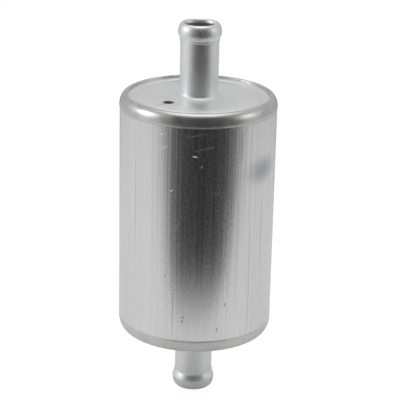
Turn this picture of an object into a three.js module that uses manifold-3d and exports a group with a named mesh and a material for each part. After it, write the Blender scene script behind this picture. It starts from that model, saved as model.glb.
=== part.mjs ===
// Inline gas-phase fuel filter: an extruded aluminium tube whose two ends are rolled over
// matching nozzle caps, with a spring-loaded pleated element inside.
// Millimetres, +Z up. The origin is the centre of the lower (outlet) nozzle's end face.
// Gas enters the top nozzle, flows down the gap round the element, inwards through the
// pleats and the perforated core, and leaves through the bottom nozzle.
import * as THREE from "three";
import { mergeVertices } from "three/addons/utils/BufferGeometryUtils.js";
import Module from "manifold-3d";

const wasm = await Module();
wasm.setup();

// Overall sizes
const TOTAL_LENGTH = 124; // nozzle end to nozzle end
const TUBE_OUTER_R = 25;
const TUBE_BORE_R = 23;
const SEAT_BORE_R = 23.75; // counterbore that takes each cap
const LOWER_CREST_Z = 22; // where the rolled rims reach furthest
const UPPER_CREST_Z = 101.2;
const GAP = 0.1; // between pieces that touch on the real filter
const SIDES = 32; // facets round every turned piece
const ARC_FACETS = 4; // facets along a quarter turn of a profile's round corner

// Rolled rims of the tube, measured from the crest
const RIM_HEIGHT = 3.9; // back to the crease on the tube wall
const CREASE_HEIGHT = 0.7; // of the step from the wall out to the roll
const RIM_BULGE = 0.12; // of the roll beyond the wall
const RIM_EDGE_R = 22.55; // inner edge of the rolled lip
const RIM_EDGE_DROP = 0.15; // from the crest to the edge
const ROLL_SWEEP = 80; // degrees of the roll, from the wall towards the crest
const LIP_THICKNESS = 0.65; // of the rolled lip at its edge

// Hose nozzle, measured from the cap's outer face
const NOZZLE_LENGTH = 23.6;
const NOZZLE_R = 6.1;
const NOZZLE_BORE_R = 4.8;
const BEAD_R = 6.9;
const BEAD_CREST_FROM_END = 3.1;
const BEAD_TAIL = 2.8; // from the bead's crest back to the plain nozzle
const NOZZLE_LIP_R = 5.3; // outer radius of the flat lip at the nozzle's end
const ROOT_FILLET = 1.2;

// Cap, measured from its outer face
const CAP_R = SEAT_BORE_R - GAP;
const CAP_FACE_R = 22.2; // where the face rounds down under the rolled rim
const CAP_SHOULDER_DEPTH = 2.3; // down to the plain cylindrical edge
const CAP_EDGE_DEPTH = 5.4;
const CAP_WEB = 3;
const CAP_POCKET_R = 19.6; // recess on the cap's inner side
const FACE_GROOVE_R = 20.1; // shallow turned groove in the outer face
const FACE_GROOVE_WIDTH = 0.8;
const FACE_GROOVE_DEPTH = 0.25;
const SEAL_GROOVE_DEPTH = 1.35; // O-ring groove in the cap's edge
const SEAL_GROOVE_NEAR = 2.5;
const SEAL_GROOVE_FAR = 4.6;
const BOSS_HEIGHT = 1.8; // the inlet cap's inner boss, and the closed end disc's
const BOSS_R = 7.2;
const FLOW_MARK_R = 1.6; // punched mark that tells the inlet end
const FLOW_MARK_FLOOR_R = 1.1;
const FLOW_MARK_DEPTH = 0.8;
const FLOW_MARK_SIDES = 12;
const FLOW_MARK_PLACE = { radius: 12.9, degrees: 223.6 };

// Element
const OPEN_DISC_Z = 31.3; // underside of the lower, open end disc
const CLOSED_DISC_Z = 86; // underside of the upper, closed end disc
const DISC_THICKNESS = 0.6;
const DISC_OUTER_R = 20.6;
const SKIRT_HEIGHT = 4;
const BOSS_FOOT_R = BOSS_R + 0.6;
const COLLAR_R = 7; // tube that leads the clean gas into the outlet cap
const COLLAR_END_Z = 26.9;
const COLLAR_CLEARANCE = 0.3;
const POTTING_THICKNESS = 1.9;
const CORE_INNER_R = 8.4;
const CORE_OUTER_R = 9;
const CORE_SIDES = 24;
const CORE_ROWS = 7;
const CORE_HOLES_PER_ROW = 6;
const CORE_HOLE_R = 2.2;
const CORE_HOLE_SIDES = 8;
const SCREEN_THICKNESS = 0.25;

// Pleated paper
const PLEATS = 32;
const PAPER_THICKNESS = 0.5;
const PLEAT_OUTER_R = 19.3;
const PLEAT_INNER_R = 9.8;
const TIP_HALF_WIDTH = { outerSkin: 0.55, innerSkin: 0.1 }; // at a pleat's tip
const FOLD_HALF_WIDTH = { outerSkin: 0.2, innerSkin: 0.7 }; // at the bottom of a valley
const BAND_WIDTH = 3;
const BAND_THICKNESS = 0.4;
const BAND_STOP = 5; // degrees from the seam clip to each end of a band
const CLIP_THICKNESS = 0.35;
const CLIP_GAP = 0.12;
const CLIP_LEG_END_R = 15.5;
const CLIP_LEG_HALF_WIDTH = 0.9; // inside the clip, at its legs' ends
const CLIP_TIP_HALF_WIDTH = 0.68;

// Outlet gasket
const GASKET_INNER_R = COLLAR_R + 0.5;
const GASKET_OUTER_R = 10.2;
const GASKET_THICKNESS = 1.5;

// Spring, its washer and the star that it pushes on
const WIRE_R = 0.5;
const WIRE_SIDES = 8;
const SPRING_R = 9.4; // mean radius of the coils
const SPRING_STEPS = 70;
const END_COILS = 1; // closed turns at each end
const END_PITCH = 1.06;
const ACTIVE_COILS = 2.75;
const WASHER_INNER_R = BOSS_R + COLLAR_CLEARANCE;
const WASHER_OUTER_R = 11.4;
const WASHER_THICKNESS = 0.6;
const STAR_THICKNESS = 0.8;
const STAR_ARMS = 4;
const STAR_BORE_R = BOSS_FOOT_R + COLLAR_CLEARANCE;
const STAR_HUB_R = 12;
const STAR_REACH = 22.4;
const STAR_ARM_WIDTH = 6;
const STAR_ARM_ROOT = 1.5; // how far an arm runs into the hub
const STAR_TAB_HEIGHT = 4;

// Heights that follow from the sizes above
const faceZ = { outlet: NOZZLE_LENGTH, inlet: TOTAL_LENGTH - NOZZLE_LENGTH };
const inletWebZ = faceZ.inlet - CAP_WEB; // inner face of the inlet cap's web
const washerZ = inletWebZ - GAP - WASHER_THICKNESS;
const seatZ = OPEN_DISC_Z - 2 * GAP - GASKET_THICKNESS; // the outlet cap's boss, under the gasket
const starZ = CLOSED_DISC_Z + DISC_THICKNESS + GAP;
const starTopZ = starZ + STAR_THICKNESS;
const insideLow = OPEN_DISC_Z + DISC_THICKNESS + GAP; // room between the two end discs
const insideHigh = CLOSED_DISC_Z - GAP;
const paperLow = insideLow + POTTING_THICKNESS + GAP;
const paperHigh = insideHigh - POTTING_THICKNESS - GAP;

const material = (color, roughness, metalness) =>
  new THREE.MeshStandardMaterial({ color, roughness, metalness });
const FINISH = {
  tube: material(0xc9cbcc, 0.3, 1),
  cap: material(0xc4c6c8, 0.5, 1),
  rubber: material(0x1b1b1c, 0.8, 0),
  steel: material(0x9ea1a3, 0.35, 1),
  tinplate: material(0xb4b4ae, 0.35, 1),
  paper: material(0xd8c48e, 0.9, 0),
  potting: material(0xc9622e, 0.6, 0),
  band: material(0xe8e6df, 0.9, 0),
};

// ---- geometry helpers ----

// A closed profile of [radius, height] pairs, turned about +Z. It may run either way round.
function turned(points, sides = SIDES) {
  const profile = points.map(([r, z]) => new THREE.Vector2(r, z));
  const onAxis = profile[0].x === 0;
  if (!onAxis) profile.push(profile[0].clone());
  if (THREE.ShapeUtils.area(profile) < 0) profile.reverse();
  return new THREE.LatheGeometry(profile, sides).rotateX(Math.PI / 2);
}

function ring(innerR, outerR, lowZ, highZ, sides = SIDES) {
  return turned([[innerR, lowZ], [outerR, lowZ], [outerR, highZ], [innerR, highZ]], sides);
}

// [radius, height] pairs along an elliptical arc, with angles in degrees from the radius axis.
function arc([centreR, centreZ], [radiusR, radiusZ], from, to) {
  const facets = Math.ceil((ARC_FACETS * Math.abs(to - from)) / 90);
  return Array.from({ length: facets + 1 }, (_, i) => {
    const angle = THREE.MathUtils.degToRad(from + ((to - from) * i) / facets);
    return [centreR + radiusR * Math.cos(angle), centreZ + radiusZ * Math.sin(angle)];
  });
}

// Pairs moved up by a height, or turned upside down about it.
const raised = (points, height) => points.map(([r, z]) => [r, height + z]);
const inverted = (points, height) => points.map(([r, z]) => [r, height - z]);

function extruded(shape, lowZ, highZ) {
  const geometry = new THREE.ExtrudeGeometry(shape, {
    depth: highZ - lowZ,
    bevelEnabled: false,
    curveSegments: SIDES / 2,
  });
  return geometry.translate(0, 0, lowZ);
}

function solidOf(geometry) {
  const bare = geometry.clone();
  bare.deleteAttribute("normal");
  bare.deleteAttribute("uv");
  const merged = mergeVertices(bare, 1e-4);
  return new wasm.Manifold(new wasm.Mesh({
    numProp: 3,
    vertProperties: merged.attributes.position.array,
    triVerts: new Uint32Array(merged.index.array),
  }));
}

function geometryOf(solid) {
  const mesh = solid.getMesh();
  const geometry = new THREE.BufferGeometry();
  geometry.setAttribute("position", new THREE.BufferAttribute(mesh.vertProperties, 3));
  geometry.setIndex(new THREE.BufferAttribute(mesh.triVerts, 1));
  return geometry.toNonIndexed();
}

// ---- housing ----

// One rolled rim, from the crease on the wall round to the shoulder that the cap sits on.
// Heights are measured from the crest, negative into the filter.
function rimProfile(shoulder) {
  const rollHeight = RIM_HEIGHT - CREASE_HEIGHT;
  const centre = [RIM_EDGE_R, -rollHeight];
  const outside = [TUBE_OUTER_R + RIM_BULGE - RIM_EDGE_R, rollHeight];
  const inside = [SEAT_BORE_R - RIM_EDGE_R, rollHeight - RIM_EDGE_DROP - LIP_THICKNESS];
  return [
    [TUBE_OUTER_R, -RIM_HEIGHT],
    ...arc(centre, outside, 0, ROLL_SWEEP),
    [RIM_EDGE_R, -RIM_EDGE_DROP],
    ...arc(centre, inside, 90, 0),
    [SEAT_BORE_R, shoulder],
    [TUBE_BORE_R, shoulder],
  ];
}

function bodyTube() {
  const capEnd = CAP_EDGE_DEPTH + GAP;
  const upper = rimProfile(faceZ.inlet - capEnd - UPPER_CREST_Z);
  const lower = rimProfile(LOWER_CREST_Z - faceZ.outlet - capEnd);
  return turned([
    ...raised(upper, UPPER_CREST_Z),
    ...inverted(lower, LOWER_CREST_Z).reverse(),
  ]);
}

// Cap with its hose nozzle. Heights are measured from the outer face, positive outwards.
// Each end has an inner boss of its own, as pairs that run out from the bore.
function capProfile(innerBoss) {
  const beadZ = NOZZLE_LENGTH - BEAD_CREST_FROM_END;
  const beadSize = [BEAD_R - NOZZLE_LIP_R, BEAD_CREST_FROM_END];
  const shoulderSize = [CAP_R - CAP_FACE_R, CAP_SHOULDER_DEPTH];
  const grooveFloorR = CAP_R - SEAL_GROOVE_DEPTH;
  return [
    [NOZZLE_BORE_R, NOZZLE_LENGTH],
    [NOZZLE_BORE_R, innerBoss[0][1]],
    ...innerBoss,
    [innerBoss.at(-1)[0], -CAP_WEB],
    [CAP_POCKET_R, -CAP_WEB],
    [CAP_POCKET_R, -CAP_EDGE_DEPTH],
    [CAP_R, -CAP_EDGE_DEPTH],
    [CAP_R, -SEAL_GROOVE_FAR],
    [grooveFloorR, -SEAL_GROOVE_FAR],
    [grooveFloorR, -SEAL_GROOVE_NEAR],
    [CAP_R, -SEAL_GROOVE_NEAR],
    ...arc([CAP_FACE_R, -CAP_SHOULDER_DEPTH], shoulderSize, 0, 90),
    [FACE_GROOVE_R + FACE_GROOVE_WIDTH / 2, 0],
    [FACE_GROOVE_R, -FACE_GROOVE_DEPTH],
    [FACE_GROOVE_R - FACE_GROOVE_WIDTH / 2, 0],
    ...arc([NOZZLE_R + ROOT_FILLET, ROOT_FILLET], [ROOT_FILLET, ROOT_FILLET], 270, 180),
    [NOZZLE_R, beadZ - BEAD_TAIL],
    [(NOZZLE_R + BEAD_R) / 2, beadZ - BEAD_TAIL / 2],
    ...arc([NOZZLE_LIP_R, beadZ], beadSize, 0, 90),
  ];
}

// The inlet cap's boss centres the spring washer.
function inletCap() {
  const profile = capProfile([[BOSS_R, -CAP_WEB - BOSS_HEIGHT]]);
  const angle = THREE.MathUtils.degToRad(FLOW_MARK_PLACE.degrees);
  const punch = new THREE.CylinderGeometry(
    2 * FLOW_MARK_R - FLOW_MARK_FLOOR_R, FLOW_MARK_FLOOR_R, 2 * FLOW_MARK_DEPTH, FLOW_MARK_SIDES,
  );
  punch.rotateX(Math.PI / 2).translate(
    FLOW_MARK_PLACE.radius * Math.cos(angle),
    FLOW_MARK_PLACE.radius * Math.sin(angle),
    faceZ.inlet,
  );
  const cap = solidOf(turned(raised(profile, faceZ.inlet)));
  return geometryOf(cap.subtract(solidOf(punch)));
}

// The outlet cap's boss seats the gasket and guides the element's collar.
function outletCap() {
  const seat = faceZ.outlet - seatZ;
  const socketR = COLLAR_R + COLLAR_CLEARANCE;
  const profile = capProfile([[socketR, -CAP_WEB], [socketR, seat], [GASKET_OUTER_R, seat]]);
  return turned(inverted(profile, faceZ.outlet));
}

// An O-ring squeezed between the groove's floor and the tube. inward is the direction in.
function oRing(face, inward) {
  const innerR = CAP_R - SEAL_GROOVE_DEPTH + GAP;
  const outerR = SEAT_BORE_R - GAP;
  const middleZ = face + (inward * (SEAL_GROOVE_NEAR + SEAL_GROOVE_FAR)) / 2;
  const halfHeight = (SEAL_GROOVE_FAR - SEAL_GROOVE_NEAR) / 2 - GAP;
  const section = arc([(innerR + outerR) / 2, middleZ], [(outerR - innerR) / 2, halfHeight], 0, 360);
  return turned(section.filter((_, i) => i % 2 === 0).slice(0, -1));
}

// Centre line of the spring's wire, with closed turns at both ends.
class SpringPath extends THREE.Curve {
  constructor(lowZ, highZ) {
    super();
    this.lowZ = lowZ;
    this.activePitch = (highZ - lowZ - 2 * END_COILS * END_PITCH) / ACTIVE_COILS;
  }

  getPoint(t, target = new THREE.Vector3()) {
    const turn = t * (2 * END_COILS + ACTIVE_COILS);
    const firstTurns = Math.min(turn, END_COILS);
    const activeTurns = THREE.MathUtils.clamp(turn - END_COILS, 0, ACTIVE_COILS);
    const lastTurns = Math.max(turn - END_COILS - ACTIVE_COILS, 0);
    const angle = 2 * Math.PI * turn;
    return target.set(
      SPRING_R * Math.cos(angle),
      SPRING_R * Math.sin(angle),
      this.lowZ + (firstTurns + lastTurns) * END_PITCH + activeTurns * this.activePitch,
    );
  }
}

function spring() {
  const wire = new THREE.Shape().absarc(0, 0, WIRE_R, 0, 2 * Math.PI);
  return new THREE.ExtrudeGeometry(wire, {
    steps: SPRING_STEPS,
    curveSegments: WIRE_SIDES / 2,
    extrudePath: new SpringPath(starTopZ + GAP + WIRE_R, washerZ - GAP - WIRE_R),
    bevelEnabled: false,
  });
}

// ---- element ----

// Spider that keeps the element central in the tube and takes the spring's thrust.
function guideStar() {
  const armStart = STAR_HUB_R - STAR_ARM_ROOT;
  const armLength = STAR_REACH - armStart;
  let solid = solidOf(ring(STAR_BORE_R, STAR_HUB_R, starZ, starTopZ));
  for (let arm = 0; arm < STAR_ARMS; arm += 1) {
    const angle = ((arm + 0.5) * 2 * Math.PI) / STAR_ARMS;
    const blade = new THREE.BoxGeometry(armLength, STAR_ARM_WIDTH, STAR_THICKNESS)
      .translate(armStart + armLength / 2, 0, starZ + STAR_THICKNESS / 2)
      .rotateZ(angle);
    const tab = new THREE.BoxGeometry(STAR_THICKNESS, STAR_ARM_WIDTH, STAR_TAB_HEIGHT)
      .translate(STAR_REACH - STAR_THICKNESS / 2, 0, starTopZ - STAR_TAB_HEIGHT / 2)
      .rotateZ(angle);
    solid = solid.add(solidOf(blade)).add(solidOf(tab));
  }
  return geometryOf(solid);
}

function closedEndDisc() {
  const top = CLOSED_DISC_Z + DISC_THICKNESS;
  const skirtEnd = CLOSED_DISC_Z - SKIRT_HEIGHT;
  return turned([
    [0, top + BOSS_HEIGHT],
    [BOSS_R, top + BOSS_HEIGHT],
    [BOSS_FOOT_R, top],
    [DISC_OUTER_R, top],
    [DISC_OUTER_R, skirtEnd],
    [DISC_OUTER_R - DISC_THICKNESS, skirtEnd],
    [DISC_OUTER_R - DISC_THICKNESS, CLOSED_DISC_Z],
    [BOSS_FOOT_R - DISC_THICKNESS, CLOSED_DISC_Z],
    [BOSS_R - DISC_THICKNESS, CLOSED_DISC_Z + BOSS_HEIGHT],
    [0, CLOSED_DISC_Z + BOSS_HEIGHT],
  ]);
}

function openEndDisc() {
  const top = OPEN_DISC_Z + DISC_THICKNESS;
  return turned([
    [COLLAR_R - DISC_THICKNESS, top],
    [DISC_OUTER_R - DISC_THICKNESS, top],
    [DISC_OUTER_R - DISC_THICKNESS, top + SKIRT_HEIGHT],
    [DISC_OUTER_R, top + SKIRT_HEIGHT],
    [DISC_OUTER_R, OPEN_DISC_Z],
    [COLLAR_R, OPEN_DISC_Z],
    [COLLAR_R, COLLAR_END_Z],
    [COLLAR_R - DISC_THICKNESS, COLLAR_END_Z],
  ]);
}

function potting(lowZ) {
  const innerR = CORE_OUTER_R + GAP + SCREEN_THICKNESS + GAP;
  return ring(innerR, DISC_OUTER_R - DISC_THICKNESS - GAP, lowZ, lowZ + POTTING_THICKNESS);
}

// One skin of the pleated sheet: flat tips and flat folds, joined by straight legs.
function pleatOutline(tipR, tipHalfWidth, foldR, foldHalfWidth) {
  const pitch = (2 * Math.PI) / PLEATS;
  const tipTurn = tipHalfWidth / tipR;
  const foldTurn = foldHalfWidth / foldR;
  const corners = [];
  for (let pleat = 0; pleat < PLEATS; pleat += 1) {
    const tip = pleat * pitch;
    const fold = tip + pitch / 2;
    corners.push([tipR, tip - tipTurn], [tipR, tip + tipTurn]);
    corners.push([foldR, fold - foldTurn], [foldR, fold + foldTurn]);
  }
  return corners.map(([r, angle]) => new THREE.Vector2(r * Math.cos(angle), r * Math.sin(angle)));
}

function pleatedMedia() {
  const shape = new THREE.Shape(pleatOutline(
    PLEAT_OUTER_R, TIP_HALF_WIDTH.outerSkin,
    PLEAT_INNER_R + PAPER_THICKNESS, FOLD_HALF_WIDTH.outerSkin,
  ));
  shape.holes.push(new THREE.Path(pleatOutline(
    PLEAT_OUTER_R - PAPER_THICKNESS, TIP_HALF_WIDTH.innerSkin,
    PLEAT_INNER_R, FOLD_HALF_WIDTH.innerSkin,
  )));
  return extruded(shape, paperLow, paperHigh);
}

// Folded strip that clamps the pleated sheet's two ends together over one pleat.
function seamClip() {
  const inside = PLEAT_OUTER_R + CLIP_GAP;
  const upperLeg = [
    [inside, CLIP_TIP_HALF_WIDTH],
    [CLIP_LEG_END_R, CLIP_LEG_HALF_WIDTH],
    [CLIP_LEG_END_R, CLIP_LEG_HALF_WIDTH + CLIP_THICKNESS],
    [inside + CLIP_THICKNESS, CLIP_TIP_HALF_WIDTH + CLIP_THICKNESS],
  ];
  const lowerLeg = upperLeg.map(([x, y]) => [x, -y]).reverse();
  const outline = [...upperLeg, ...lowerLeg].map(([x, y]) => new THREE.Vector2(x, y));
  return extruded(new THREE.Shape(outline), paperLow, paperHigh);
}

// Glued strip that keeps the pleats apart. Its two ends stop beside the seam clip.
function pleatBand(middleZ) {
  const innerR = PLEAT_OUTER_R + GAP;
  const start = THREE.MathUtils.degToRad(BAND_STOP);
  const end = 2 * Math.PI - start;
  const shape = new THREE.Shape();
  shape.absarc(0, 0, innerR + BAND_THICKNESS, start, end, false);
  shape.absarc(0, 0, innerR, end, start, true);
  shape.closePath();
  return extruded(shape, middleZ - BAND_WIDTH / 2, middleZ + BAND_WIDTH / 2);
}

// Rolled tube with staggered rows of holes.
function perforatedCore() {
  const rowPitch = (paperHigh - paperLow) / CORE_ROWS;
  const punchLength = 4 * (CORE_OUTER_R - CORE_INNER_R);
  let solid = solidOf(ring(CORE_INNER_R, CORE_OUTER_R, insideLow, insideHigh, CORE_SIDES));
  for (let row = 0; row < CORE_ROWS; row += 1) {
    const stagger = (row % 2) / 2;
    for (let hole = 0; hole < CORE_HOLES_PER_ROW; hole += 1) {
      const punch = new THREE.CylinderGeometry(
        CORE_HOLE_R, CORE_HOLE_R, punchLength, CORE_HOLE_SIDES,
      );
      punch.rotateZ(Math.PI / 2)
        .translate((CORE_INNER_R + CORE_OUTER_R) / 2, 0, paperLow + (row + 0.5) * rowPitch)
        .rotateZ((2 * Math.PI * (hole + stagger)) / CORE_HOLES_PER_ROW);
      solid = solid.subtract(solidOf(punch));
    }
  }
  return geometryOf(solid);
}

// ---- assembly ----

const filter = new THREE.Group();
const housing = new THREE.Group();
const element = new THREE.Group();
filter.add(housing, element);

function place(group, name, geometry, finish) {
  const mesh = new THREE.Mesh(geometry, finish);
  mesh.name = name;
  group.add(mesh);
}

const washer = ring(WASHER_INNER_R, WASHER_OUTER_R, washerZ, washerZ + WASHER_THICKNESS);
place(housing, "body_tube", bodyTube(), FINISH.tube);
place(housing, "inlet_cap", inletCap(), FINISH.cap);
place(housing, "outlet_cap", outletCap(), FINISH.cap);
place(housing, "inlet_o_ring", oRing(faceZ.inlet, -1), FINISH.rubber);
place(housing, "outlet_o_ring", oRing(faceZ.outlet, 1), FINISH.rubber);
place(housing, "spring_washer", washer, FINISH.steel);
place(housing, "element_spring", spring(), FINISH.steel);

const screenR = CORE_OUTER_R + GAP;
const screen = ring(screenR, screenR + SCREEN_THICKNESS, insideLow, insideHigh);
const gasket = ring(GASKET_INNER_R, GASKET_OUTER_R, seatZ + GAP, OPEN_DISC_Z - GAP);
const bandNames = ["lower_pleat_band", "middle_pleat_band", "upper_pleat_band"];
const bandSpacing = (paperHigh - paperLow) / (bandNames.length + 1);
place(element, "guide_star", guideStar(), FINISH.steel);
place(element, "closed_end_disc", closedEndDisc(), FINISH.tinplate);
place(element, "upper_potting", potting(insideHigh - POTTING_THICKNESS), FINISH.potting);
place(element, "pleated_media", pleatedMedia(), FINISH.paper);
place(element, "seam_clip", seamClip(), FINISH.tinplate);
bandNames.forEach((name, i) => {
  place(element, name, pleatBand(paperLow + (i + 1) * bandSpacing), FINISH.band);
});
place(element, "core_screen", screen, FINISH.steel);
place(element, "perforated_core", perforatedCore(), FINISH.tinplate);
place(element, "lower_potting", potting(insideLow), FINISH.potting);
place(element, "open_end_disc", openEndDisc(), FINISH.tinplate);
place(element, "outlet_gasket", gasket, FINISH.rubber);

export default filter;
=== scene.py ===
"""Inline gas-phase fuel filter: the visible pieces, materials and studio, built round the CAD frame.

The fine pieces are turned, folded or swept from a few dimensions, in the frame's own metres.
Profiles are written in millimetres as (radius, height) and placed from the frame's boxes.
"""

import math

import bmesh
import bpy
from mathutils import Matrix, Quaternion, Vector


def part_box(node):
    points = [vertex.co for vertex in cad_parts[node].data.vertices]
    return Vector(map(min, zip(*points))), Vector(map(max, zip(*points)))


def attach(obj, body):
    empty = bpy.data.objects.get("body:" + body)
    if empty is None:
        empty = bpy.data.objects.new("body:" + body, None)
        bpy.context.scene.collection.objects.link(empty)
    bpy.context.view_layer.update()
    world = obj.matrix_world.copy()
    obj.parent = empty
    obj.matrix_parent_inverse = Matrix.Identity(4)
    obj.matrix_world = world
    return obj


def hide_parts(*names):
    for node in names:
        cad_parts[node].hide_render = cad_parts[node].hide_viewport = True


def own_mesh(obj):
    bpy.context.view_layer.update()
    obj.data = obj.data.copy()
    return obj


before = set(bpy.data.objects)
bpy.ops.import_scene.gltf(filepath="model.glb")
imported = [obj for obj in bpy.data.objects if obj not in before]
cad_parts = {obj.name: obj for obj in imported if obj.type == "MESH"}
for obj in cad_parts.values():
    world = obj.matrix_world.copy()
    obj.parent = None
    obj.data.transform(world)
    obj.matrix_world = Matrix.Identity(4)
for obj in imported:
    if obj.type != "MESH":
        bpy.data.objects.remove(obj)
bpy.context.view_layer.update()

MM = 0.001
SEGMENTS = 256  # round the large turned pieces
SMALL_SEGMENTS = 96  # round the small ones
SHARP = math.radians(38)

# Places read from the frame, in millimetres
TUBE_LOW, TUBE_HIGH = (corner.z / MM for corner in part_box("body_tube"))
INLET_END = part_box("inlet_cap")[1].z / MM
OUTLET_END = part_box("outlet_cap")[0].z / MM
CAP_EDGE_DEPTH = 5.4
INLET_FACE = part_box("inlet_cap")[0].z / MM + CAP_EDGE_DEPTH
OUTLET_FACE = OUTLET_END + INLET_END - INLET_FACE
WALL_R = 25.0
BORE_R = 23.0
SEAT_R = 23.75


# ---- profiles ----


def arc(centre, radii, start, end, steps):
    """Points along an elliptical arc, with angles in degrees from the radius axis."""
    points = []
    for i in range(steps + 1):
        angle = math.radians(start + (end - start) * i / steps)
        points.append((centre[0] + radii[0] * math.cos(angle), centre[1] + radii[1] * math.sin(angle)))
    return points


def rounded(corners, steps=4):
    """A closed outline of (x, y, fillet) corners, each rounded by its fillet radius."""
    outline = []
    count = len(corners)
    for i, (x, y, fillet) in enumerate(corners):
        here = Vector((x, y))
        before = Vector(corners[i - 1][:2]) - here
        after = Vector(corners[(i + 1) % count][:2]) - here
        if fillet == 0 or before.length < 1e-9 or after.length < 1e-9:
            outline.append((x, y))
            continue
        half = before.angle(after) / 2
        reach = min(fillet / math.tan(half), 0.49 * before.length, 0.49 * after.length)
        begin = here + before.normalized() * reach
        finish = here + after.normalized() * reach
        for step in range(steps + 1):
            t = step / steps
            point = begin * (1 - t) ** 2 + here * 2 * t * (1 - t) + finish * t**2
            outline.append((point.x, point.y))
    return outline


# ---- mesh building ----


def finish_mesh(name, bm, materials, smooth_angle=SHARP):
    """Turns a bmesh into an object with outward faces, smooth except over sharp edges."""
    bmesh.ops.remove_doubles(bm, verts=bm.verts, dist=1e-7)
    bmesh.ops.recalc_face_normals(bm, faces=bm.faces)
    mesh = bpy.data.meshes.new(name)
    bm.to_mesh(mesh)
    bm.free()
    mesh.shade_smooth()
    mesh.set_sharp_from_angle(angle=smooth_angle)
    piece = bpy.data.objects.new(name, mesh)
    bpy.context.scene.collection.objects.link(piece)
    for finish in materials:
        mesh.materials.append(finish)
    return piece


def turned(profile, segments=SEGMENTS, shape=None, slot_of=None):
    """A bmesh turned about +Z from a closed profile in millimetres.

    shape(angle, radius, height) may return a changed (radius, height), for dents and waves.
    slot_of(radius, height) gives a face's material index from its middle.
    """
    bm = bmesh.new()
    rings = []
    for radius, height in profile:
        if radius < 1e-9:
            rings.append([bm.verts.new((0, 0, height * MM))])
            continue
        ring = []
        for i in range(segments):
            angle = 2 * math.pi * i / segments
            r, z = shape(angle, radius, height) if shape else (radius, height)
            ring.append(bm.verts.new((r * math.cos(angle) * MM, r * math.sin(angle) * MM, z * MM)))
        rings.append(ring)
    for k, ring in enumerate(rings):
        other = rings[(k + 1) % len(rings)]
        if len(ring) == 1 and len(other) == 1:
            continue
        middle = [(profile[k][j] + profile[(k + 1) % len(profile)][j]) / 2 for j in (0, 1)]
        index = slot_of(*middle) if slot_of else 0
        for i in range(segments):
            j = (i + 1) % segments
            corners = [ring[i % len(ring)], ring[j % len(ring)]]
            corners += [other[j % len(other)], other[i % len(other)]]
            face = bm.faces.new(dict.fromkeys(corners))
            face.material_index = index
    return bm


def swept(points, section, reference, closed=False, bm=None):
    """Carries a section of (side, up) offsets along a path. All sizes are in millimetres.

    reference(point) gives the direction that the section's side offsets follow.
    """
    bm = bm or bmesh.new()
    count = len(points)
    rings = []
    for i, point in enumerate(points):
        ahead = points[(i + 1) % count] if closed or i < count - 1 else point
        behind = points[i - 1] if closed or i > 0 else point
        along = (ahead - behind).normalized()
        side = reference(point)
        side = (side - along * side.dot(along)).normalized()
        up = along.cross(side)
        rings.append([bm.verts.new((point + side * a + up * b) * MM) for a, b in section])
    pairs = list(zip(rings, rings[1:])) + ([(rings[-1], rings[0])] if closed else [])
    for one, other in pairs:
        for k in range(len(section)):
            j = (k + 1) % len(section)
            bm.faces.new((one[k], one[j], other[j], other[k]))
    if not closed:
        bm.faces.new(rings[0])
        bm.faces.new(rings[-1])
    return bm


def round_section(radius, sides):
    return arc((0, 0), (radius, radius), 0, 360, sides)[:-1]


def box_section(width, height, fillet):
    w, h = width / 2, height / 2
    return rounded([(-w, -h, fillet), (w, -h, fillet), (w, h, fillet), (-w, h, fillet)], 2)


def extruded(loops, levels, shape=None):
    """Walls through levels of height from one outline, or an outline and its inner one.

    shape(x, y, z) may return a changed (x, y), for pinches and waves.
    """
    bm = bmesh.new()
    grids = []
    for loop in loops:
        grid = []
        for z in levels:
            places = [shape(x, y, z) if shape else (x, y) for x, y in loop]
            grid.append([bm.verts.new((x * MM, y * MM, z * MM)) for x, y in places])
        for low, high in zip(grid, grid[1:]):
            for k in range(len(loop)):
                j = (k + 1) % len(loop)
                bm.faces.new((low[k], low[j], high[j], high[k]))
        grids.append(grid)
    for end in (0, -1):
        if len(loops) == 1:
            bm.faces.new(grids[0][end])
            continue
        outer, inner = grids[0][end], grids[1][end]
        for k in range(len(outer)):
            j = (k + 1) % len(outer)
            bm.faces.new((outer[k], outer[j], inner[j], inner[k]))
    return bm


# ---- material nodes ----


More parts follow.
